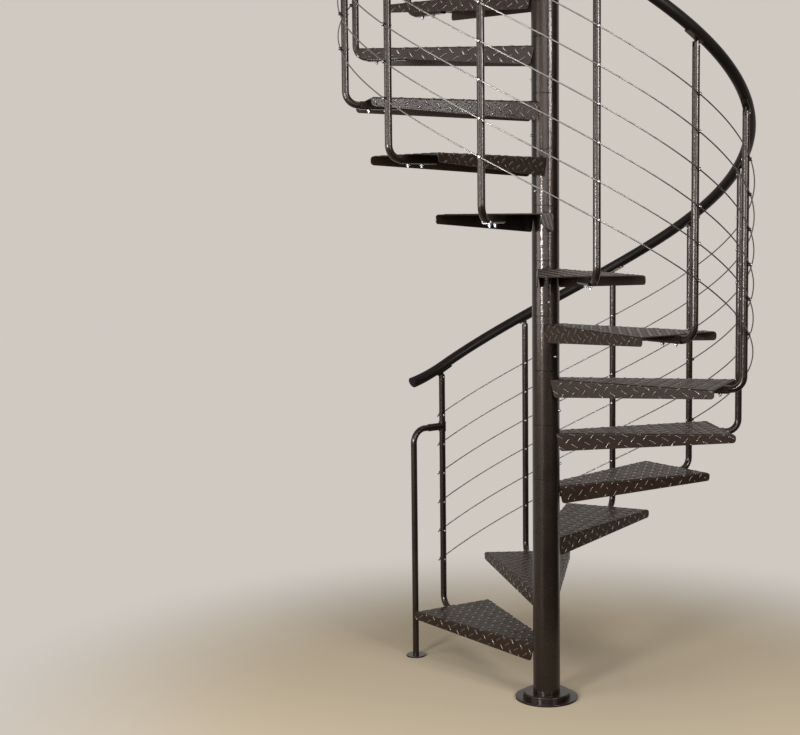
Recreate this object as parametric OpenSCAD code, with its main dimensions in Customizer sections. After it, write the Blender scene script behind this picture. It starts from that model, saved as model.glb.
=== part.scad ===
// Spiral staircase with folded steel treads on a central column, tube balusters and cable rails.
// Millimetres, +Z up. The origin is on the column's axis, where the base plate meets the floor.
// The flight climbs clockwise, seen from above.

/* [Flight] */
// Number of treads
tread_count = 13; // [4:1:16]
// Height from one tread to the next
rise = 215; // [205:1:235]
// Turn from one tread to the next, in degrees
turn = 29; // [27:0.5:30]
// Direction of the first tread, in degrees from +X
first_angle = 123; // [0:1:360]
// Distance of the balusters and the handrail from the column's axis
rail_radius = 780; // [775:1:900]

/* [Column] */
// Outer diameter of the column's sleeves
sleeve_d = 108; // [98:0.2:120]
// Wall thickness of the sleeves
sleeve_wall = 3; // [2:0.5:5]
// Height of each sleeve's upper edge above its tread
sleeve_rise = 32; // [20:1:60]
// Bevel on the outer edges of the sleeves
sleeve_bevel = 1.2; // [0.5:0.1:2]
// Wall thickness of the pole inside the sleeves
pole_wall = 4; // [3:0.5:8]
// Height of the cap that closes the column
cap_height = 14; // [8:1:30]
// Radius of the cap's upper edge
cap_edge = 4; // [2:0.5:7]

/* [Base] */
// Diameter of the floor plate
base_d = 250; // [220:1:320]
// Thickness of the floor plate
base_thick = 8; // [5:1:15]
// Radius of the floor plate's upper edge
base_edge = 2; // [1:0.5:4]
// Diameter of the raised collar on the floor plate
collar_d = 188; // [160:1:210]
// Height of the raised collar
collar_height = 18; // [10:1:30]
// Radius of the collar's upper edge
collar_edge = 4; // [2:0.5:8]

/* [Treads] */
// Distance of the tread's outer edge from the column's axis
tread_reach = 712; // [690:1:722]
// Width of the tread at its outer edge
tread_width = 384; // [340:1:420]
// Width at which the tread's outline would cross the column's axis
tread_root = 68; // [50:1:80]
// Thickness of the tread's sheet
sheet = 3; // [2:0.5:4]
// Outer radius of the fold between the tread's top and its flanges
fold_r = 6; // [5:0.5:10]
// Depth of the flanges at the column
flange_root = 72; // [60:1:84]
// Depth of the flanges at the outer edge
flange_tip = 33; // [30:1:40]
// Radius of the flanges' lower corner at the outer edge
tip_corner = 14; // [6:1:15]
// Radius of the nose at the tread's outer edge, above that corner
nose_corner = 14; // [6:1:14]
// Corner radius of the flanges at the column
root_corner = 12; // [4:1:20]
// Distance from the column's axis at which the end of the flange starts
root_start = 31; // [26:1:34]
// How far the end of the flange slants back from the column over its depth
root_slope = 18; // [10:1:36]

/* [Balusters] */
// Outer diameter of the baluster tube
tube_d = 27; // [20:0.5:30]
// Wall thickness of the baluster tube
tube_wall = 2; // [1:0.5:3]
// Radius of the bend at the foot, on the tube's centre line
tube_bend = 50; // [40:1:56]
// Height of the baluster's upper end above its tread
baluster_height = 994; // [870:1:1100]
// Length of the clamp that holds the baluster's foot under the tread
clamp_length = 160; // [120:1:180]
// How far the clamp stands out past the tread's outer edge
clamp_overhang = 15; // [5:1:20]
// Thickness of the clamp's steel
clamp_wall = 3; // [2:0.5:5]
// Outer radius of the clamp's folds
clamp_fold = 7; // [6:0.5:9]

/* [Handrail] */
// Diameter of the handrail
rail_d = 42; // [38:1:50]
// Height of the handrail's centre line above the balusters' upper ends
rail_lift = 60; // [54:1:90]
// How far the handrail runs on before the first and after the last baluster, in degrees
rail_overrun = 12; // [6:0.5:14]
// How far the handrail's lower end is bent up, above the line of the flight
rail_ease = 28; // [0:1:40]
// Height of the knuckle on top of each baluster
knuckle_height = 26; // [24:1:30]
// Height of the fork's floor above the baluster's end
fork_floor = 5; // [3:0.5:7]
// Length of the plug that stands in the baluster
plug_length = 30; // [20:1:45]
// Length of the saddle under the handrail
saddle_length = 80; // [50:1:100]
// Width of the saddle under the handrail
saddle_width = 24; // [16:1:32]
// Thickness of the tongue between saddle and knuckle
tongue_thick = 6; // [4:0.5:10]
// Thickness of the saddle under the handrail
saddle_thick = 3; // [2:0.5:5]
// How far the saddle's sides reach up round the handrail
saddle_wrap = 5; // [2:0.5:8]

/* [Cables] */
// Number of cables
cable_count = 6; // [3:1:6]
// Diameter of the cables
cable_d = 5; // [3:0.5:6]
// Height of the uppermost cable above its tread
cable_top = 838; // [700:1:850]
// Height from one cable to the next
cable_pitch = 129; // [100:1:135]
// Distance from the baluster's surface to the cable's centre line
cable_offset = 4; // [3.5:0.5:8]
// Diameter of the clip that holds a cable to a baluster
clip_d = 13; // [10:1:18]
// How far the clip stands out past the cable
clip_cover = 2.5; // [1.5:0.5:4]
// How far the cables run on past the first and the last baluster, in degrees
cable_overrun = 1.1; // [1:0.1:4]

/* [Entry post] */
// Turn from the entry post to the first baluster, in degrees
post_turn = 11.5; // [11:0.5:13]
// Height of the arm's centre line above the floor
arm_height = 1003; // [700:1:1030]
// Radius of the bend between post and arm, on the tube's centre line
arm_bend = 60; // [40:1:70]
// Diameter of the post's foot plate
foot_d = 84; // [60:1:120]
// Thickness of the post's foot plate
foot_thick = 6; // [4:1:12]
// Radius of the foot plate's upper edge
foot_edge = 2; // [1:0.5:3]
// Height of the tee's barrel on the first baluster
tee_height = 44; // [36:1:60]
// Length of the tee's branch, from the baluster's axis
tee_reach = 74; // [40:1:80]
// Wall thickness of the tee
tee_wall = 2.5; // [2:0.5:5]

/* [Hidden] */
$fn = 96;

// Gap between a piece and its seat
seat_gap = 0.3;
// How far a cut runs on past the piece it's made in
over = 1;
// How far a round corner's circle stands out past the sides it touches, so that it crosses them cleanly
crossing = 0.05;
steel = [0.20, 0.20, 0.21];
tread_steel = [0.27, 0.25, 0.23];
zinc = [0.78, 0.79, 0.80];
cable_steel = [0.50, 0.49, 0.47];
plastic = [0.07, 0.07, 0.07];

sleeve_r = sleeve_d / 2;
sleeve_bore = sleeve_r - sleeve_wall;
pole_r = sleeve_bore - seat_gap;
base_top = base_thick + collar_height;
column_top = tread_count * rise + sleeve_rise;

rail_height = baluster_height + rail_lift;

taper = atan((tread_width - tread_root) / 2 / tread_reach);
side_length = tread_reach / cos(taper);

tube_r = tube_d / 2;
leg_z = -sheet - seat_gap - tube_r;
leg_start = tread_reach + clamp_overhang - clamp_length;
bend_start = rail_radius - tube_bend;

slope = atan(rise / (rail_radius * turn * PI / 180));
cable_radius = rail_radius + tube_r + cable_offset;
cable_slope = atan(rise / (cable_radius * turn * PI / 180));
rings_per_turn = 6;
rail_sides = 12;
cable_sides = 8;

function numbered(name, i) = str(name, i < 10 ? "0" : "", i);

// Puts a child on tread i, with +X pointing outwards along it and Z = 0 on its upper face
module on_tread(i) {
    rotate([0, 0, first_angle - (i - 1) * turn])
        translate([0, 0, i * rise])
            children();
}

module tube(d, wall, length) {
    difference() {
        cylinder(d = d, h = length);
        translate([0, 0, -over])
            cylinder(d = d - 2 * wall, h = length + 2 * over);
    }
}

// Disc whose upper edge is rounded off
module rounded_disc(r, height, edge) {
    rotate_extrude()
        union() {
            square([r - edge, height]);
            square([r, height - edge]);
            translate([r - edge, height - edge])
                intersection() {
                    circle(r = edge);
                    square(edge);
                }
        }
}

// A quarter bend in the XZ plane, centred on the origin, from +X round to -Z
module quarter_bend(d, wall, r) {
    rotate([90, 0, 0])
        rotate([0, 0, -90])
            rotate_extrude(angle = 90)
                translate([r, 0])
                    difference() {
                        circle(d = d);
                        circle(d = d - 2 * wall);
                    }
}

// Base and column

module base_plate() {
    color(steel)
        rounded_disc(base_d / 2, base_thick, base_edge);
}

module base_collar() {
    color(steel)
        translate([0, 0, base_thick])
            difference() {
                rounded_disc(collar_d / 2, collar_height, collar_edge);
                translate([0, 0, -over])
                    cylinder(r = pole_r + seat_gap, h = collar_height + 2 * over);
            }
}

module inner_pole() {
    color(steel)
        translate([0, 0, base_thick])
            tube(2 * pole_r, pole_wall, column_top - base_thick);
}

module sleeve(i) {
    low = i == 1 ? base_top : (i - 1) * rise + sleeve_rise;
    length = i * rise + sleeve_rise - low;
    translate([0, 0, low])
        rotate_extrude()
            polygon([
                [sleeve_bore, 0],
                [sleeve_r - sleeve_bevel, 0],
                [sleeve_r, sleeve_bevel],
                [sleeve_r, length - sleeve_bevel],
                [sleeve_r - sleeve_bevel, length],
                [sleeve_bore, length]
            ]);
}

module sleeves_odd() {
    color(steel)
        for (i = [1:2:tread_count])
            sleeve(i);
}

module sleeves_even() {
    color(steel)
        for (i = [2:2:tread_count])
            sleeve(i);
}

module column_cap() {
    color(plastic)
        translate([0, 0, column_top])
            rounded_disc(sleeve_r, cap_height, cap_edge);
}

// Treads

// Point on a corner's fillet: the centre of a circle of radius r that touches both edges at p
function corner_centre(p, u, v, r) =
    let (w = u + v, half = acos(u * v) / 2)
        p + w / norm(w) * r / sin(half);
function corner_touch(p, u, v, r) =
    let (half = acos(u * v) / 2)
        p + u * r / tan(half);
function unit(v) = v / norm(v);

// Side view of the tread: deep at the column, shallow at the outer edge, with rounded corners.
// Its upper line stands clear of the tread's face, so that the nose meets that face in a crisp edge.
module tread_outline() {
    top_root = [root_start, over];
    root = [root_start + root_slope, -flange_root];
    tip = [tread_reach, -flange_tip];
    along = unit(tip - root);
    up_root = unit(top_root - root);
    up_tip = [0, 1];
    polygon([
        top_root,
        corner_touch(root, up_root, along, root_corner),
        corner_touch(root, along, up_root, root_corner),
        corner_touch(tip, -along, up_tip, tip_corner),
        corner_touch(tip, up_tip, -along, tip_corner),
        [tread_reach, over - nose_corner],
        [tread_reach - nose_corner, over]
    ]);
    translate([tread_reach - nose_corner, over - nose_corner])
        circle(r = nose_corner);
    translate(corner_centre(root, up_root, along, root_corner))
        circle(r = root_corner + crossing);
    translate(corner_centre(tip, up_tip, -along, tip_corner))
        circle(r = tip_corner + crossing);
}

// Section across one side of the tread, with the fold as a round corner at the origin
module side_section(inset) {
    corner = fold_r - inset;
    width = 2 * tread_width;
    depth = flange_root + fold_r;
    translate([-width, -depth])
        square([width - fold_r, depth - inset]);
    translate([-width, -depth])
        square([width - inset, depth - fold_r]);
    translate([-fold_r, -fold_r])
        circle(r = corner);
}

// Everything inside the two sides, which spread from the column to the outer edge
module between_sides(inset) {
    intersection_for (side = [0, 1])
        mirror([0, side, 0])
            translate([0, tread_root / 2, 0])
                rotate([0, 0, taper])
                    translate([-tread_width, 0, 0])
                        rotate([90, 0, 90])
                            linear_extrude(side_length + 2 * tread_width)
                                side_section(inset);
}

module tread(i) {
    color(tread_steel)
        on_tread(i)
            difference() {
                intersection() {
                    difference() {
                        between_sides(0);
                        between_sides(sheet);
                    }
                    translate([0, tread_width, 0])
                        rotate([90, 0, 0])
                            linear_extrude(2 * tread_width)
                                tread_outline();
                }
                translate([0, 0, -flange_root - fold_r])
                    cylinder(r = sleeve_r + seat_gap, h = flange_root + 2 * fold_r);
            }
}

// Balusters

module baluster(i) {
    color(steel)
        on_tread(i)
            union() {
                translate([rail_radius, 0, leg_z + tube_bend])
                    tube(tube_d, tube_wall, baluster_height - leg_z - tube_bend);
                translate([bend_start, 0, leg_z + tube_bend])
                    quarter_bend(tube_d, tube_wall, tube_bend);
                translate([bend_start, 0, leg_z])
                    rotate([0, -90, 0])
                        tube(tube_d, tube_wall, bend_start - leg_start);
            }
}

// Section of a channel from a level down to its floor, with round lower corners
module channel_section(half, level, floor_y, r) {
    union() {
        translate([-half, floor_y + r])
            square([2 * half, level - floor_y - r]);
        translate([r - half, floor_y])
            square([2 * (half - r), r]);
        for (side = [-1, 1])
            translate([side * (half - r), floor_y + r])
                circle(r = r);
    }
}

// Folded channel that wraps the foot of the baluster, open upwards against the tread
module clamp() {
    inside = tube_r + seat_gap;
    outside = inside + clamp_wall;
    translate([leg_start, 0, 0])
        rotate([90, 0, 90])
            linear_extrude(clamp_length)
                difference() {
                    channel_section(outside, -sheet - seat_gap, leg_z - outside, clamp_fold);
                    channel_section(inside, 0, leg_z - inside, clamp_fold - clamp_wall);
                }
}

module baluster_clamps() {
    color(steel)
        for (i = [1:tread_count])
            on_tread(i)
                clamp();
}

// Handrail

// Climb of a rod at a turn of a degrees clockwise from the first tread, where ease bends its lower end up
function climb(a, ease) =
    a / turn * rise + (a < 0 ? ease * a * a / (rail_overrun * rail_overrun) : 0);

// Ring of points across a helix, with its first point facing outwards
function helix_ring(a, radius, height, r, sides, ease) =
    let (
        theta = first_angle - a,
        pitch = atan(rise / (radius * turn * PI / 180)),
        out = [cos(theta), sin(theta), 0],
        up = [-sin(theta) * sin(pitch), cos(theta) * sin(pitch), cos(pitch)],
        centre = radius * out + [0, 0, height + climb(a, ease)]
    )
        [for (k = [0:sides - 1]) centre + r * (cos(k * 360 / sides) * out + sin(k * 360 / sides) * up)];

module helix_rod(angles, radius, height, r, sides, ease) {
    last = len(angles) - 1;
    points = [for (a = angles) each helix_ring(a, radius, height, r, sides, ease)];
    skin = [
        for (j = [0:last - 1], k = [0:sides - 1])
            let (a = j * sides + k, b = j * sides + (k + 1) % sides)
                each [[a, a + sides, b + sides], [a, b + sides, b]]
    ];
    start = [for (k = [0:sides - 1]) k];
    end = [for (k = [sides - 1:-1:0]) last * sides + k];
    polyhedron(points, concat([start], skin, [end]));
}

// Turns at which a rod over all balusters has its rings, with an overrun at both ends
function ring_angles(overrun) =
    let (step = turn / rings_per_turn, last = (tread_count - 1) * turn, extra = ceil(overrun / step) - 1)
        concat(
            [-overrun],
            [for (j = [-extra:(tread_count - 1) * rings_per_turn + extra]) j * step],
            [last + overrun]
        );

module handrail() {
    color(plastic)
        helix_rod(
            ring_angles(rail_overrun), rail_radius, rise + rail_height, rail_d / 2, rail_sides, rail_ease
        );
}

// Forked knuckle that plugs into the top of a baluster
module knuckle() {
    slot = tongue_thick + 2 * seat_gap;
    plug_r = tube_r - tube_wall - seat_gap;
    translate([rail_radius, 0, baluster_height]) {
        translate([0, 0, -plug_length])
            cylinder(r = plug_r, h = plug_length);
        difference() {
            intersection() {
                cylinder(d = tube_d, h = knuckle_height);
                union() {
                    translate([-tube_r, 0, knuckle_height - tube_r])
                        rotate([0, 90, 0])
                            cylinder(d = tube_d, h = tube_d);
                    translate([-tube_r, -tube_r, 0])
                        cube([tube_d, tube_d, knuckle_height - tube_r]);
                }
            }
            translate([-slot / 2, -tube_d, fork_floor])
                cube([slot, 2 * tube_d, tube_d]);
        }
    }
}

module rail_knuckles() {
    color(steel)
        for (i = [1:tread_count])
            on_tread(i)
                knuckle();
}

// Saddle that carries the handrail, with the tongue that stands in the knuckle's slot
module saddle() {
    seat_r = rail_d / 2 + seat_gap;
    pin_z = knuckle_height - tube_r;
    tongue_r = pin_z - fork_floor - seat_gap;
    translate([rail_radius, 0, baluster_height])
        difference() {
            union() {
                translate([0, 0, rail_lift])
                    rotate([-slope, 0, 0])
                        translate([-saddle_width / 2, -saddle_length / 2, -seat_r - saddle_thick])
                            cube([saddle_width, saddle_length, saddle_thick + saddle_wrap]);
                translate([-tongue_thick / 2, 0, pin_z])
                    rotate([90, 0, 90])
                        linear_extrude(tongue_thick)
                            union() {
                                circle(r = tongue_r);
                                translate([-tongue_r, 0])
                                    square([2 * tongue_r, rail_lift - knuckle_height]);
                            }
            }
            translate([0, 0, rail_lift])
                rotate([-slope, 0, 0])
                    rotate([90, 0, 0])
                        translate([0, 0, -saddle_length])
                            cylinder(r = seat_r, h = 2 * saddle_length);
        }
}

module rail_saddles() {
    color(steel)
        for (i = [1:tread_count])
            on_tread(i)
                saddle();
}

// Cables

function cable_height(k) = cable_top - (k - 1) * cable_pitch;

module cable(k) {
    color(cable_steel)
        helix_rod(
            ring_angles(cable_overrun), cable_radius, rise + cable_height(k), cable_d / 2, cable_sides, 0
        );
}

// Clip on the outer face of a baluster, with a hole that the cable runs through
module clip() {
    clip_start = rail_radius + tube_r + seat_gap;
    clip_end = cable_radius + cable_d / 2 + clip_cover;
    difference() {
        translate([clip_start, 0, 0])
            rotate([0, 90, 0])
                cylinder(d = clip_d, h = clip_end - clip_start);
        translate([cable_radius, 0, 0])
            rotate([-cable_slope, 0, 0])
                rotate([90, 0, 0])
                    translate([0, 0, -clip_d])
                        cylinder(r = cable_d / 2 + seat_gap, h = 2 * clip_d);
    }
}

module cable_clips() {
    color(zinc)
        for (i = [1:tread_count], k = [1:cable_count])
            on_tread(i)
                translate([0, 0, cable_height(k)])
                    clip();
}

// Entry post

// Stands at the post, with +X pointing to the first baluster and Z = 0 on the floor
module at_post() {
    post_angle = first_angle + post_turn;
    rotate([0, 0, post_angle])
        translate([rail_radius, 0, 0])
            rotate([0, 0, -90 - post_turn / 2])
                children();
}
post_gap = 2 * rail_radius * sin(post_turn / 2);

module entry_post() {
    color(steel)
        at_post()
            union() {
                rounded_disc(foot_d / 2, foot_thick, foot_edge);
                translate([0, 0, foot_thick])
                    tube(tube_d, tube_wall, arm_height - arm_bend - foot_thick);
                translate([arm_bend, 0, arm_height - arm_bend])
                    rotate([0, 180, 0])
                        quarter_bend(tube_d, tube_wall, arm_bend);
                translate([arm_bend, 0, arm_height])
                    rotate([0, 90, 0])
                        tube(tube_d, tube_wall, post_gap - arm_bend - tube_r - tee_wall - 2 * seat_gap);
            }
}

module entry_tee() {
    bore_r = tube_r + seat_gap;
    color(steel)
        at_post()
            translate([post_gap, 0, arm_height])
                difference() {
                    union() {
                        translate([0, 0, -tee_height / 2])
                            cylinder(r = bore_r + tee_wall, h = tee_height);
                        rotate([0, -90, 0])
                            cylinder(r = bore_r + tee_wall, h = tee_reach);
                    }
                    translate([0, 0, -tee_height])
                        cylinder(r = bore_r, h = 2 * tee_height);
                    translate([-tube_r - tee_wall - seat_gap, 0, 0])
                        rotate([0, -90, 0])
                            cylinder(r = bore_r, h = tee_reach);
                }
}

base_plate();
base_collar();
inner_pole();
sleeves_odd();
sleeves_even();
column_cap();
for (i = [1:tread_count]) {
    tread(i);
    baluster(i);
}
baluster_clamps();
rail_knuckles();
rail_saddles();
handrail();
for (k = [1:cable_count]) {
    cable(k);
}
cable_clips();
entry_post();
entry_tee();
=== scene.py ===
import math

import bmesh
import bpy
from mathutils import Matrix, Vector


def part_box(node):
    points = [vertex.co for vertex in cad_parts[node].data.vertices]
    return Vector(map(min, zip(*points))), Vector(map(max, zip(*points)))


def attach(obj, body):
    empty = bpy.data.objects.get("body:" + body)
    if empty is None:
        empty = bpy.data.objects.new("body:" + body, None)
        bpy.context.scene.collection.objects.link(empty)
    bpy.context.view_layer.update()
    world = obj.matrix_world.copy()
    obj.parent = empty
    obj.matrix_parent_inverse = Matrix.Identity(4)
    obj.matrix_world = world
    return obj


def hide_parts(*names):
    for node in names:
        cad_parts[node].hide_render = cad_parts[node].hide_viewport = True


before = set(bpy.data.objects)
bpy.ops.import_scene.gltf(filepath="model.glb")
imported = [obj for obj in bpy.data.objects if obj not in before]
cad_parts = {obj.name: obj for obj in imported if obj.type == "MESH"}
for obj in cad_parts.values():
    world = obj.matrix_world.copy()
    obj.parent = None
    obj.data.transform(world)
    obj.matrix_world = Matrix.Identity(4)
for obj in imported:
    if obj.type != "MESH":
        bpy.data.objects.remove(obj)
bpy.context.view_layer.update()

# Sizes of the stair, in metres and degrees
MM = 0.001
TREADS = 13
TURN = 29
FIRST_ANGLE = 123
RAIL_RADIUS = 780 * MM
RAIL_WIDTH = 42 * MM
TUBE_RADIUS = 13.5 * MM
SLEEVE_RADIUS = 54 * MM
TREAD_REACH = 712 * MM
TREAD_WIDTH = 384 * MM
TREAD_ROOT = 68 * MM
FOLD_RADIUS = 6 * MM
FLANGE_ROOT = 72 * MM
FLANGE_TIP = 33 * MM
# Radius of the flanges' lower corner at the outer edge, and of the tread's nose above it
TIP_CORNER = 14 * MM
NOSE_CORNER = 14 * MM
# Where a flange's end starts at the column, and how far it slants back over the flange's depth
ROOT_START = 31 * MM
ROOT_SLOPE = 18 * MM
# Degrees that the handrail runs on past the end balusters, and how far its lower end is bent up
RAIL_OVERRUN = 12
RAIL_EASE = 28 * MM
# The cables. Their centre lines lie the offset away from the balusters' surface, and the clips stand
# out past them by the cover. The uppermost lies the top above a tread, and the overrun is in degrees.
CABLES = 6
CABLE_DIAMETER = 5 * MM
CABLE_OFFSET = 4 * MM
CABLE_RADIUS = RAIL_RADIUS + TUBE_RADIUS + CABLE_OFFSET
CLIP_COVER = 2.5 * MM
CLIP_END = CABLE_RADIUS + CABLE_DIAMETER / 2 + CLIP_COVER
CABLE_TOP = 838 * MM
CABLE_PITCH = 129 * MM
CABLE_OVERRUN = 1.1
# Heights of the handrail's centre line and of a knuckle's pin above a baluster's top
RAIL_LIFT = 60 * MM
PIN_LIFT = 12.5 * MM

# Heights over a tread, and its taper, worked out from the frame and the sizes above
RISE = (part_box("tread_13")[1].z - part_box("tread_01")[1].z) / (TREADS - 1)
BALUSTER_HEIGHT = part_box("baluster_01")[1].z - RISE
CLAMP_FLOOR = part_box("baluster_clamps")[0].z - RISE
RAIL_HEIGHT = BALUSTER_HEIGHT + RAIL_LIFT
KNUCKLE_PIN = BALUSTER_HEIGHT + PIN_LIFT
TAPER = math.atan((TREAD_WIDTH - TREAD_ROOT) / 2 / TREAD_REACH)


# Camera

# Place in metres, turns in degrees, lens in millimetres and shifts in sensor widths, fitted to the photo
CAMERA_PLACE = Vector((-0.2804, -5.7056, 1.9427))
CAMERA_TILT = 85.176
CAMERA_TURN = 0.966
CAMERA_ROLL = -0.459
CAMERA_LENS = 65.49
CAMERA_SHIFT_X = -0.0625
CAMERA_SHIFT_Y = -0.0406

camera_data = bpy.data.cameras.new("camera")
camera_data.lens = CAMERA_LENS
camera_data.shift_x = CAMERA_SHIFT_X
camera_data.shift_y = CAMERA_SHIFT_Y
camera = bpy.data.objects.new("camera", camera_data)
bpy.context.scene.collection.objects.link(camera)
camera.matrix_world = (
    Matrix.Translation(CAMERA_PLACE)
    @ Matrix.Rotation(math.radians(CAMERA_TURN), 4, "Z")
    @ Matrix.Rotation(math.radians(CAMERA_TILT), 4, "X")
    @ Matrix.Rotation(math.radians(CAMERA_ROLL), 4, "Z")
)
bpy.context.scene.camera = camera


# Materials

def linear(hex_colour):
    """Turns an sRGB hex value into a linear colour with an alpha of 1."""
    values = [int(hex_colour[i:i + 2], 16) / 255 for i in (1, 3, 5)]
    return [v / 12.92 if v <= 0.04045 else ((v + 0.055) / 1.055) ** 2.4 for v in values] + [1]


def add(tree, kind, inputs=None, **settings):
    """Adds a shader node, with its settings, and sets or links each input that is named."""
    node = tree.nodes.new("ShaderNode" + kind)
    for name, value in settings.items():
        setattr(node, name, value)
    for name, value in (inputs or {}).items():
        if isinstance(value, bpy.types.NodeSocket):
            tree.links.new(value, node.inputs[name])
        else:
            node.inputs[name].default_value = value
    return node


def new_material(name):
    material = bpy.data.materials.new(name)
    material.use_nodes = True
    material.node_tree.nodes.clear()
    return material, material.node_tree


def hammered_enamel():
    # Hammer-finish enamel, sprayed on steel tube and stoved. Its aluminium flakes draw together
    # in shallow dished cells under a clear film, so a highlight breaks up into tinted glints. The cells
    # are drawn about twice as wide as the real ones, so that they show in the render, and the flakes
    # several times as wide, so that they show up close.
    cell = 5.5 * MM
    flake = 1.1 * MM
    cloud = 70 * MM
    material, tree = new_material("hammered_enamel")
    place = add(tree, "TexCoord").outputs["Object"]
    clouds = add(tree, "TexNoise", {"Vector": place, "Scale": 1 / cloud, "Detail": 3.0})
    dishes = add(tree, "TexVoronoi", {"Vector": place, "Scale": 1 / cell, "Smoothness": 0.5},
                 feature="SMOOTH_F1")
    flakes = add(tree, "TexVoronoi", {"Vector": place, "Scale": 1 / flake}, feature="F1")
    shade = add(tree, "MapRange", {"Value": dishes.outputs["Distance"], "From Min": 0.1, "From Max": 0.7})
    film = add(tree, "MixRGB", {"Fac": shade.outputs["Result"], "Color1": linear("#120B08"),
                                "Color2": linear("#2D241E")})
    colour = add(tree, "MixRGB", {"Fac": 0.12, "Color1": film.outputs["Color"],
                                  "Color2": flakes.outputs["Color"]}, blend_type="OVERLAY")
    metal = add(tree, "MapRange", {"Value": shade.outputs["Result"], "To Min": 0.4, "To Max": 0.8})
    gloss = add(tree, "MapRange", {"Value": clouds.outputs["Fac"], "From Min": 0.3, "From Max": 0.7,
                                   "To Min": 0.3, "To Max": 0.4})
    bump = add(tree, "Bump", {"Height": dishes.outputs["Distance"], "Strength": 0.9, "Distance": 0.3 * MM})
    surface = add(tree, "BsdfPrincipled", {"Base Color": colour.outputs["Color"],
                                           "Metallic": metal.outputs["Result"], "Specular IOR Level": 0.15,
                                           "Roughness": gloss.outputs["Result"], "Coat Weight": 0.37,
                                           "Coat Roughness": 0.08, "Normal": bump.outputs["Normal"],
                                           "Coat Normal": bump.outputs["Normal"]})
    add(tree, "OutputMaterial", {"Surface": surface.outputs["BSDF"]})
    return material


def plate_enamel(name, gleam, coat):
    # The same enamel on hot-rolled chequer plate. The mill scale under it makes the film duller and
    # slightly uneven, with a grain that is drawn coarse enough to show. Over the raised lugs it is
    # rubbed bright, so they get more gleam and a full coat.
    grain = 5 * MM
    patch = 60 * MM
    material, tree = new_material(name)
    place = add(tree, "TexCoord").outputs["Object"]
    patches = add(tree, "TexNoise", {"Vector": place, "Scale": 1 / patch, "Detail": 3.0})
    grains = add(tree, "TexVoronoi", {"Vector": place, "Scale": 1 / grain, "Smoothness": 0.4},
                 feature="SMOOTH_F1")
    colour = add(tree, "MixRGB", {"Fac": patches.outputs["Fac"], "Color1": linear("#170D07"),
                                  "Color2": linear("#26180E")})
    gloss = add(tree, "MapRange", {"Value": patches.outputs["Fac"], "From Min": 0.3, "From Max": 0.7,
                                   "To Min": 0.4, "To Max": 0.52})
    bump = add(tree, "Bump", {"Height": grains.outputs["Distance"], "Strength": 0.9, "Distance": 0.3 * MM})
    surface = add(tree, "BsdfPrincipled", {"Base Color": colour.outputs["Color"],
                                           "Specular IOR Level": gleam,
                                           "Roughness": gloss.outputs["Result"], "Coat Weight": coat,
                                           "Coat Roughness": 0.1, "Normal": bump.outputs["Normal"],
                                           "Coat Normal": bump.outputs["Normal"]})
    add(tree, "OutputMaterial", {"Surface": surface.outputs["BSDF"]})
    return material


def rail_plastic():
    # Black polyethylene, extruded and bent warm. The surface is satin, with a faint extrusion grain
    # that is drawn coarse enough to show up close.
    grain = 2.5 * MM
    worn_patch = 90 * MM
    material, tree = new_material("rail_plastic")
    place = add(tree, "TexCoord").outputs["Object"]
    grains = add(tree, "TexNoise", {"Vector": place, "Scale": 1 / grain, "Detail": 3.0})
    wear = add(tree, "TexNoise", {"Vector": place, "Scale": 1 / worn_patch, "Detail": 2.0})
    gloss = add(tree, "MapRange", {"Value": wear.outputs["Fac"], "From Min": 0.3, "From Max": 0.7,
                                   "To Min": 0.36, "To Max": 0.5})
    colour = add(tree, "MixRGB", {"Fac": wear.outputs["Fac"], "Color1": linear("#0A0706"),
                                  "Color2": linear("#120D0A")})
    bump = add(tree, "Bump", {"Height": grains.outputs["Fac"], "Strength": 0.2, "Distance": 0.1 * MM})
    surface = add(tree, "BsdfPrincipled", {"Base Color": colour.outputs["Color"],
                                           "Specular IOR Level": 0.13,
                                           "Roughness": gloss.outputs["Result"],
                                           "Normal": bump.outputs["Normal"]})
    add(tree, "OutputMaterial", {"Surface": surface.outputs["BSDF"]})
    return material


def wire_rope():
    # Stainless steel strand, drawn and laid from round wires. The wires' twist makes slanted ridges,
    # which show up close and soften the cable's gleam from afar. The colour is painted darker in the
    # grooves between the wires and lighter on their crowns: painted shade and painted highlight.
    wires = 12
    material, tree = new_material("wire_rope")
    strand = add(tree, "UVMap", uv_map="strand").outputs["UV"]
    phase = add(tree, "VectorMath", {0: strand, 1: (wires * math.tau, math.tau, 0)},
                operation="DOT_PRODUCT")
    ridge = add(tree, "Math", {0: phase.outputs["Value"]}, operation="SINE")
    shade = add(tree, "MapRange", {"Value": ridge.outputs["Value"], "From Min": -1.0, "From Max": 1.0})
    # Painted shade in the grooves between the wires and painted highlight on their crowns
    colour = add(tree, "MixRGB", {"Fac": shade.outputs["Result"], "Color1": linear("#5C5955"),
                                  "Color2": linear("#95928D")})
    bump = add(tree, "Bump", {"Height": ridge.outputs["Value"], "Strength": 0.3, "Distance": 0.2 * MM})
    surface = add(tree, "BsdfPrincipled", {"Base Color": colour.outputs["Color"], "Metallic": 1.0,
                                           "Roughness": 0.36, "Normal": bump.outputs["Normal"]})
    add(tree, "OutputMaterial", {"Surface": surface.outputs["BSDF"]})
    return material


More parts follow.
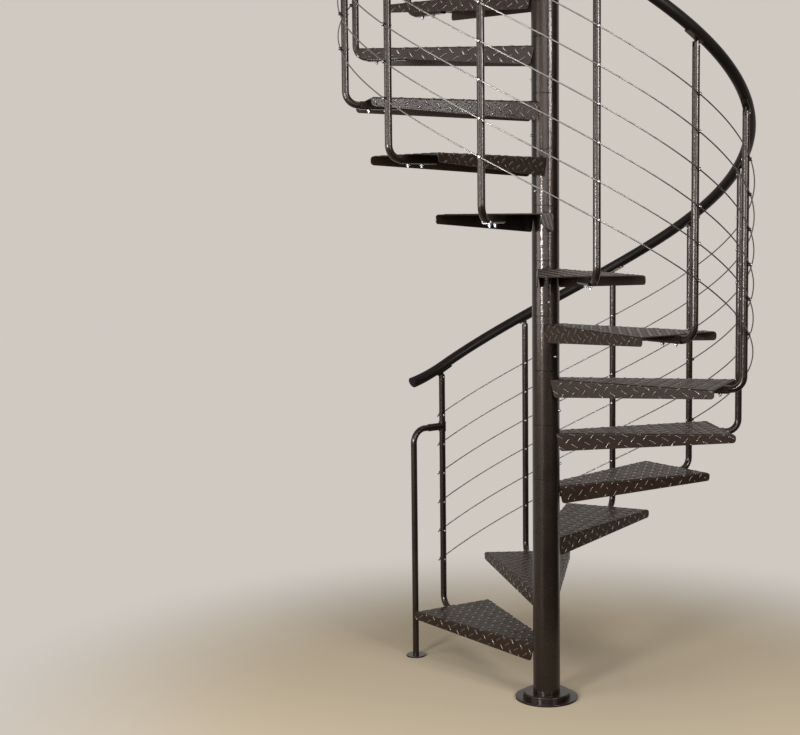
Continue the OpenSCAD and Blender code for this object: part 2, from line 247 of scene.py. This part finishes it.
def bright_zinc():
    # Electroplated zinc with a clear passivation, on turned and pressed fasteners. It's bright, with a
    # blue cast and faint clouds.
    clouding = 5 * MM
    material, tree = new_material("bright_zinc")
    place = add(tree, "TexCoord").outputs["Object"]
    cloud = add(tree, "TexNoise", {"Vector": place, "Scale": 1 / clouding, "Detail": 2.0})
    colour = add(tree, "MixRGB", {"Fac": cloud.outputs["Fac"], "Color1": linear("#8A8E95"),
                                  "Color2": linear("#ADAFB0")})
    gloss = add(tree, "MapRange", {"Value": cloud.outputs["Fac"], "From Min": 0.3, "From Max": 0.7,
                                   "To Min": 0.3, "To Max": 0.42})
    surface = add(tree, "BsdfPrincipled", {"Base Color": colour.outputs["Color"], "Metallic": 1.0,
                                           "Roughness": gloss.outputs["Result"]})
    add(tree, "OutputMaterial", {"Surface": surface.outputs["BSDF"]})
    return material


ENAMEL = hammered_enamel()
PLATE = plate_enamel("plate_enamel", gleam=0.14, coat=0.11)
LUGS = plate_enamel("lug_enamel", gleam=0.3, coat=1.0)
PLASTIC = rail_plastic()
WIRE = wire_rope()
ZINC = bright_zinc()


# Placing finished pieces

# Angle between faces past which an edge stays sharp, in degrees
SHARP_ANGLE = 38


def on_tread(i):
    """Puts the origin on tread i's upper face, at the column's axis, with +X out along the tread."""
    turn = Matrix.Rotation(math.radians(FIRST_ANGLE - (i - 1) * TURN), 4, "Z")
    return Matrix.Translation((0, 0, i * RISE)) @ turn


def join_copies(shape, places):
    """Returns one bmesh with a copy of the shape at each place."""
    mesh = bpy.data.meshes.new("shape")
    shape.to_mesh(mesh)
    joined = bmesh.new()
    for place in places:
        first = len(joined.verts)
        joined.from_mesh(mesh)
        joined.verts.ensure_lookup_table()
        bmesh.ops.transform(joined, matrix=place, verts=joined.verts[first:])
    bpy.data.meshes.remove(mesh)
    return joined


def new_object(name, shape, material):
    """Makes an object of the bmesh with the material, and frees the bmesh."""
    mesh = bpy.data.meshes.new(name)
    shape.to_mesh(mesh)
    shape.free()
    mesh.materials.append(material)
    thing = bpy.data.objects.new(name, mesh)
    bpy.context.scene.collection.objects.link(thing)
    return thing


def finish_piece(name, shape, material, replaced=()):
    """Makes a piece of the bmesh, shades it smooth up to its sharp edges and lets it ride on the stair."""
    piece = new_object(name, shape, material)
    piece.data.shade_smooth()
    piece.data.set_sharp_from_angle(angle=math.radians(SHARP_ANGLE))
    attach(piece, "root")
    if replaced:
        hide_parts(*replaced)


# Closing and cutting shapes

def close_ends(shape):
    """Fills a sweep's open ends and returns the new faces."""
    ends = [edge for edge in shape.edges if edge.is_boundary]
    return bmesh.ops.holes_fill(shape, edges=ends, sides=0)["faces"]


def cut_off(shape, point, normal):
    """Cuts off what lies past the plane, on the side its normal points to, and closes the cut."""
    cut = bmesh.ops.bisect_plane(shape, geom=shape.verts[:] + shape.edges[:] + shape.faces[:],
                                 plane_co=point, plane_no=normal, clear_outer=True)
    edges = [part for part in cut["geom_cut"] if isinstance(part, bmesh.types.BMEdge)]
    bmesh.ops.holes_fill(shape, edges=edges, sides=0)


# Handrail and cables

# Sides of each round section, and degrees between its rings
RAIL_SIDES = 40
RAIL_STEP = 1.5
CABLE_SIDES = 12
CABLE_STEP = 2
# Rounding of the handrail's ends, and the length in which a cable's wires go round once
RAIL_ROUNDING = 3 * MM
CABLE_LAY = 45 * MM


def helix_sweep(thickness, sides, radius, height, overrun, step):
    """Sweeps an open-ended round tube up the flight, from before the first baluster to past the last."""
    start = math.radians(FIRST_ANGLE + overrun)
    total = math.radians((TREADS - 1) * TURN + 2 * overrun)
    steps = round(total / math.radians(step))
    climb = RISE / math.radians(TURN)
    slope = math.atan(climb / radius)
    shape = bmesh.new()
    bmesh.ops.create_circle(shape, segments=sides, radius=thickness / 2)
    place = (
        Matrix.Rotation(start, 4, "Z")
        @ Matrix.Translation((radius, 0, height - climb * math.radians(overrun)))
        @ Matrix.Rotation(-slope, 4, "X")
        @ Matrix.Rotation(math.radians(90), 4, "X")
    )
    bmesh.ops.transform(shape, matrix=place, verts=shape.verts)
    bmesh.ops.spin(shape, geom=shape.verts[:] + shape.edges[:], cent=(0, 0, 0), axis=(0, 0, -1),
                   dvec=(0, 0, climb * total / steps), angle=total, steps=steps)
    return shape


def bend_lower_end(shape):
    """Bends the handrail's stretch before the first baluster up, above the line of the flight."""
    for vert in shape.verts:
        if vert.co.z < RISE + RAIL_HEIGHT + RAIL_WIDTH:
            travel = FIRST_ANGLE - math.degrees(math.atan2(vert.co.y, vert.co.x))
            vert.co.z += RAIL_EASE * (min(travel, 0) / RAIL_OVERRUN) ** 2


def make_handrail():
    shape = helix_sweep(RAIL_WIDTH, RAIL_SIDES, RAIL_RADIUS, RISE + RAIL_HEIGHT, RAIL_OVERRUN, RAIL_STEP)
    bend_lower_end(shape)
    ends = close_ends(shape)
    rims = [edge for face in ends for edge in face.edges]
    bmesh.ops.bevel(shape, geom=rims, offset=RAIL_ROUNDING, segments=4, profile=0.5, affect="EDGES",
                    material=-1)
    bmesh.ops.recalc_face_normals(shape, faces=shape.faces)
    finish_piece("handrail_tube", shape, PLASTIC, ["handrail"])


def write_strand_uv(shape, height):
    """Writes a UV map with turns round the cable in U and lays of its strands in V."""
    climb = RISE / math.radians(TURN)
    before = math.radians(2 * CABLE_OVERRUN)
    layer = shape.loops.layers.uv.new("strand")
    for face in shape.faces:
        turns = []
        for loop in face.loops:
            point = loop.vert.co
            travel = (math.radians(FIRST_ANGLE) + before - math.atan2(point.y, point.x)) % math.tau - before
            out = math.hypot(point.x, point.y) - CABLE_RADIUS
            up = point.z - height - climb * travel
            turns.append(math.atan2(up, out) / math.tau)
            loop[layer].uv = (turns[-1], travel * CABLE_RADIUS / CABLE_LAY)
        if max(turns) - min(turns) > 0.5:
            for loop, turn in zip(face.loops, turns):
                loop[layer].uv.x = turn + (turn < 0)


def make_cables():
    for k in range(CABLES):
        height = RISE + CABLE_TOP - k * CABLE_PITCH
        shape = helix_sweep(CABLE_DIAMETER, CABLE_SIDES, CABLE_RADIUS, height, CABLE_OVERRUN, CABLE_STEP)
        close_ends(shape)
        bmesh.ops.recalc_face_normals(shape, faces=shape.faces)
        write_strand_uv(shape, height)
        finish_piece(f"cable_wire_{k + 1}", shape, WIRE, [f"cable_{k + 1}"])


# Chequer plate

LUG_LENGTH = 31 * MM
LUG_WIDTH = 8 * MM
LUG_HEIGHT = 2 * MM
LUG_SINK = 0.3 * MM
LUG_LEAN = 45
LUG_PITCH = 50 * MM
ROW_PITCH = 23.4 * MM
# Place of the pattern on the first tread, and how much further each next tread is cut across it
PATTERN_START = Vector((-6 * MM, -15.5 * MM, 0))
PATTERN_STEP = 12.5 * MM


def make_lug():
    """A raised lug: a bowed line spun round its chord and flattened, with its lower half cut away."""
    segments, sides, merge = 8, 12, 0.01 * MM
    shape = bmesh.new()
    points = []
    for k in range(segments + 1):
        share = 2 * k / segments - 1
        points.append(shape.verts.new((share * LUG_LENGTH / 2, (1 - share ** 4) * LUG_WIDTH / 2, 0)))
    edges = [shape.edges.new(pair) for pair in zip(points, points[1:])]
    bmesh.ops.spin(shape, geom=points + edges, cent=(0, 0, 0), axis=(1, 0, 0), angle=math.tau, steps=sides,
                   use_merge=True)
    bmesh.ops.remove_doubles(shape, verts=shape.verts, dist=merge)
    bmesh.ops.scale(shape, vec=(1, 1, 2 * LUG_HEIGHT / LUG_WIDTH), verts=shape.verts)
    cut_off(shape, (0, 0, -LUG_SINK), (0, 0, -1))
    bmesh.ops.recalc_face_normals(shape, faces=shape.faces)
    return shape


def fold(point):
    """Moves a point from the flat sheet, lying at Z = 0 before folding, to the folded tread."""
    side = math.copysign(1, point.y)
    along = Vector((math.cos(TAPER), math.sin(TAPER) * side, 0))
    out = Vector((-math.sin(TAPER), math.cos(TAPER) * side, 0))
    corner = Vector((0, TREAD_ROOT / 2 * side, 0))
    flat = Vector((point.x, point.y, 0)) - corner
    run, beyond = flat.dot(along), flat.dot(out) + FOLD_RADIUS
    if beyond <= 0:
        return point
    angle = min(beyond / FOLD_RADIUS, math.pi / 2)
    drop = max(beyond - FOLD_RADIUS * math.pi / 2, 0)
    normal = math.sin(angle) * out + math.cos(angle) * Vector((0, 0, 1))
    centre = corner + run * along - FOLD_RADIUS * out - Vector((0, 0, FOLD_RADIUS))
    return centre + (FOLD_RADIUS + point.z) * normal - Vector((0, 0, drop))


def lug_places(i):
    """Rows of lugs along tread i, each row leaning the other way and half a pitch further on."""
    origin = PATTERN_START + Vector((0, (i - 1) * PATTERN_STEP % (2 * ROW_PITCH), 0))
    rows = math.ceil((TREAD_WIDTH / 2 + FLANGE_TIP) / ROW_PITCH) + 2
    lugs = math.ceil(TREAD_REACH / LUG_PITCH) + 1
    margin = LUG_LENGTH / 3
    for row in range(-rows, rows + 1):
        lean = math.radians(LUG_LEAN if row % 2 else -LUG_LEAN)
        for k in range(lugs):
            centre = origin + Vector(((k + 0.5 * (row % 2)) * LUG_PITCH, row * ROW_PITCH, 0))
            place = fold(centre)
            depth = FLANGE_ROOT + (FLANGE_TIP - FLANGE_ROOT) * place.x / TREAD_REACH
            clear = math.hypot(place.x, place.y) >= SLEEVE_RADIUS + margin
            if clear and place.x < TREAD_REACH + margin and place.z > -depth - margin:
                yield Matrix.Translation(centre) @ Matrix.Rotation(lean, 4, "Z")


def make_chequer():
    lug = make_lug()
    tip = Vector((TREAD_REACH, 0, -FLANGE_TIP))
    slope = math.atan((FLANGE_ROOT - FLANGE_TIP) / TREAD_REACH)
    # A slanted cut that touches a round corner's arc meets the sides this share of its radius away
    chamfer = 2 - math.sqrt(2)
    for i in range(1, TREADS + 1):
        sheet = join_copies(lug, lug_places(i))
        for vert in sheet.verts:
            vert.co = fold(vert.co)
        cut_off(sheet, (TREAD_REACH, 0, 0), (1, 0, 0))
        cut_off(sheet, tip, (math.sin(slope), 0, -math.cos(slope)))
        cut_off(sheet, tip - Vector((TIP_CORNER * chamfer, 0, 0)), (1, 0, -1))
        cut_off(sheet, (TREAD_REACH - NOSE_CORNER * chamfer, 0, LUG_HEIGHT), (1, 0, 1))
        cut_off(sheet, (ROOT_START, 0, 0), (-FLANGE_ROOT, 0, -ROOT_SLOPE))
        bmesh.ops.transform(sheet, matrix=on_tread(i), verts=sheet.verts)
        finish_piece(f"chequer_lugs_{i:02d}", sheet, LUGS)
    lug.free()


# Fasteners

# Diameter, height and depth of the recess of each kind of head
SET_SCREW = (10 * MM, 8 * MM, 3 * MM)
KNUCKLE_SCREW = (8 * MM, 3 * MM, 1.5 * MM)
CLIP_SCREW = (9 * MM, 4 * MM, 1.5 * MM)
CLIP_CAP = (9.5 * MM, 3 * MM, 1 * MM)
# How deep a head stands in a baluster or a clip, and in a sleeve
HEAD_SINK = 0.5 * MM
SLEEVE_SINK = 0.3 * MM
# Distance of a set screw below its tread's upper face, and of a clamp's two bolts from the column's axis
SET_SCREW_DROP = 128 * MM
CLAMP_BOLTS = (628 * MM, 692 * MM)
# Radius, height and sides of each part of a clamp bolt's end
WASHER = (8 * MM, 1.5 * MM, 24)
NUT = (7.5 * MM, 6 * MM, 6)
THREAD = (4 * MM, 13 * MM, 16)
NUT_CHAMFER = 0.5 * MM


def make_head(diameter, height, recess):
    """A round head on Z = 0 with a domed edge and a round recess for the key."""
    sides, dome, rim = 20, 0.45, 0.12
    shape = bmesh.new()
    bmesh.ops.create_cone(shape, cap_ends=True, segments=sides, radius1=diameter / 2, radius2=diameter / 2,
                          depth=height, matrix=Matrix.Translation((0, 0, height / 2)))
    upper = [edge for edge in shape.edges if all(vert.co.z > height / 2 for vert in edge.verts)]
    bmesh.ops.bevel(shape, geom=upper, offset=height * dome, segments=3, profile=0.5, affect="EDGES",
                    material=-1)
    top = max(shape.faces, key=lambda face: face.calc_center_median().z)
    bmesh.ops.inset_region(shape, faces=[top], thickness=diameter / 2 * rim, depth=0)
    bmesh.ops.translate(shape, vec=(0, 0, -recess), verts=top.verts)
    return shape


def make_bolt_end():
    """The lower end of a clamp bolt, below Z = 0: washer, hexagon nut and the end of the thread."""
    shape = bmesh.new()
    low = 0
    for radius, height, sides in (WASHER, NUT):
        made = bmesh.ops.create_cone(shape, cap_ends=True, segments=sides, radius1=radius, radius2=radius,
                                     depth=height, matrix=Matrix.Translation((0, 0, low - height / 2)))
        edges = list(dict.fromkeys(edge for vert in made["verts"] for edge in vert.link_edges))
        bmesh.ops.bevel(shape, geom=edges, offset=NUT_CHAMFER, segments=2, profile=0.5, affect="EDGES",
                        material=-1)
        low -= height
    radius, length, sides = THREAD
    bmesh.ops.create_cone(shape, cap_ends=True, segments=sides, radius1=radius, radius2=radius,
                          depth=length, matrix=Matrix.Translation((0, 0, -length / 2)))
    return shape


def fit_fasteners(name, shape, places):
    """Puts copies of a fastener at its places on every tread and joins them to one piece."""
    copies = [on_tread(i) @ place for i in range(1, TREADS + 1) for place in places]
    finish_piece(name, join_copies(shape, copies), ZINC)
    shape.free()


def make_fasteners():
    outward = Matrix.Rotation(math.radians(90), 4, "Y")
    inward = Matrix.Rotation(math.radians(-90), 4, "Y")
    inner_side = RAIL_RADIUS - TUBE_RADIUS + HEAD_SINK
    outer_side = RAIL_RADIUS + TUBE_RADIUS - HEAD_SINK
    clips = [CABLE_TOP - k * CABLE_PITCH for k in range(CABLES)]

    def at(x, z):
        return Matrix.Translation((x, 0, z))

    fit_fasteners("clamp_bolt_nuts", make_bolt_end(), [at(x, CLAMP_FLOOR) for x in CLAMP_BOLTS])
    fit_fasteners("set_screws", make_head(*SET_SCREW),
                  [at(SLEEVE_RADIUS - SLEEVE_SINK, -SET_SCREW_DROP) @ outward])
    fit_fasteners("knuckle_screws", make_head(*KNUCKLE_SCREW),
                  [at(inner_side, KNUCKLE_PIN) @ inward, at(outer_side, KNUCKLE_PIN) @ outward])
    fit_fasteners("cable_clip_screws", make_head(*CLIP_SCREW), [at(inner_side, z) @ inward for z in clips])
    fit_fasteners("cable_clip_caps", make_head(*CLIP_CAP),
                  [at(CLIP_END - HEAD_SINK, z) @ outward for z in clips])


# The kept nodes get their finish

def dress(prefix, material):
    for name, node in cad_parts.items():
        if name.startswith(prefix):
            node.data.materials.clear()
            node.data.materials.append(material)


for prefix in ("base_", "inner_pole", "sleeves_", "baluster_", "rail_", "entry_"):
    dress(prefix, ENAMEL)
dress("tread_", PLATE)
dress("column_cap", PLASTIC)
dress("cable_clips", ENAMEL)

make_handrail()
make_cables()
make_chequer()
make_fasteners()


# Floor and light

BACKDROP = linear("#CFC9C2")
GROUND = linear("#B3A58F")
# Depth of the floor and height of the dark carpet, from the base plate's lower face
FLOOR_DROP = 0.2 * MM
CARPET_RISE = 1 * MM


def backdrop_strength(tree):
    """Full strength where the camera, a mirror or a clear piece shows the backdrop, less in its light."""
    seen, cast = 1.0, 0.3
    path = add(tree, "LightPath").outputs
    mirrored = add(tree, "Math", {0: path["Is Glossy Ray"], 1: path["Is Transmission Ray"]},
                   operation="MAXIMUM")
    shown = add(tree, "Math", {0: path["Is Camera Ray"], 1: mirrored.outputs["Value"]}, operation="MAXIMUM")
    strength = add(tree, "MapRange", {"Value": shown.outputs["Value"], "To Min": cast, "To Max": seen})
    return strength.outputs["Result"]


def make_floor():
    """A wide pale floor that takes on the backdrop's brightness past the stair, so no horizon shows."""
    near, far, reach, sides = 1.0, 2.6, 60, 96
    material, tree = new_material("floor")
    place = add(tree, "TexCoord").outputs["Object"]
    distance = add(tree, "VectorMath", {0: place}, operation="LENGTH")
    fade = add(tree, "MapRange", {"Value": distance.outputs["Value"], "From Min": near, "From Max": far},
               interpolation_type="SMOOTHSTEP")
    ground = add(tree, "BsdfDiffuse", {"Color": GROUND})
    glow = add(tree, "Emission", {"Color": BACKDROP, "Strength": backdrop_strength(tree)})
    mix = add(tree, "MixShader", {0: fade.outputs["Result"], 1: ground.outputs["BSDF"],
                                  2: glow.outputs["Emission"]})
    add(tree, "OutputMaterial", {"Surface": mix.outputs["Shader"]})
    shape = bmesh.new()
    bmesh.ops.create_circle(shape, cap_ends=True, segments=sides, radius=reach)
    floor = new_object("floor", shape, material)
    floor.location.z = -FLOOR_DROP


def make_world():
    world = bpy.data.worlds.new("studio")
    world.use_nodes = True
    tree = world.node_tree
    tree.nodes.clear()
    sky = add(tree, "Background", {"Color": BACKDROP, "Strength": backdrop_strength(tree)})
    add(tree, "OutputWorld", {"Surface": sky.outputs["Background"]})
    bpy.context.scene.world = world


def make_curtain():
    """A dark carpet, and a curtain behind the camera and to its right. Only reflections see them."""
    near, far, height, start, spread, steps = 1.0, 6.8, 4, -118, 140, 48
    shape = bmesh.new()
    corners = (near, 0, CARPET_RISE), (far, 0, CARPET_RISE), (far, 0, height)
    points = [shape.verts.new(corner) for corner in corners]
    edges = [shape.edges.new(pair) for pair in zip(points, points[1:])]
    bmesh.ops.spin(shape, geom=points + edges, cent=(0, 0, 0), axis=(0, 0, 1), angle=math.radians(spread),
                   steps=steps)
    bmesh.ops.rotate(shape, cent=(0, 0, 0), matrix=Matrix.Rotation(math.radians(start), 3, "Z"),
                     verts=shape.verts)
    material, tree = new_material("dark_cloth")
    cloth = add(tree, "BsdfDiffuse", {"Color": linear("#1C1A19")})
    add(tree, "OutputMaterial", {"Surface": cloth.outputs["BSDF"]})
    curtain = new_object("curtain", shape, material)
    curtain.visible_camera = False
    curtain.visible_diffuse = False
    curtain.visible_shadow = False


def make_softbox(name, place, aim, width, height, power):
    """A rectangular lamp, turned to its aim, with sizes in metres and its power in watts."""
    light = bpy.data.lights.new(name, "AREA")
    light.shape = "RECTANGLE"
    light.size = width
    light.size_y = height
    light.energy = power
    box = bpy.data.objects.new(name, light)
    box.location = place
    box.rotation_mode = "QUATERNION"
    box.rotation_quaternion = (Vector(aim) - Vector(place)).to_track_quat("-Z", "Y")
    box.visible_camera = False
    bpy.context.scene.collection.objects.link(box)


make_floor()
make_world()
make_curtain()
make_softbox("window_light", (-2.94, -4.05, 1.66), (0, 0, 1.66), 1.0, 0.9, 195)
make_softbox("left_light", (-4.6, -2.0, 2.05), (0, 0, 1.5), 2.5, 2.2, 105)
make_softbox("room_light", (-0.4, -6.3, 2.8), (0, 0, 2.5), 4.5, 3.0, 185)
make_softbox("side_light", (2.72, -4.19, 2.5), (0, 0, 2.5), 0.7, 1.9, 95)
make_softbox("high_light", (-1.3, -4.15, 4.1), (0, 0, 1.3), 3.0, 0.6, 50)
make_softbox("right_light", (3.41, -3.66, 3.0), (0, 0, 2.6), 1.3, 0.8, 125)
make_softbox("top_light", (0.6, -0.6, 6.5), (0, 0, 0), 2.5, 2.5, 40)


view_settings = bpy.context.scene.view_settings
view_settings.view_transform = "Standard"
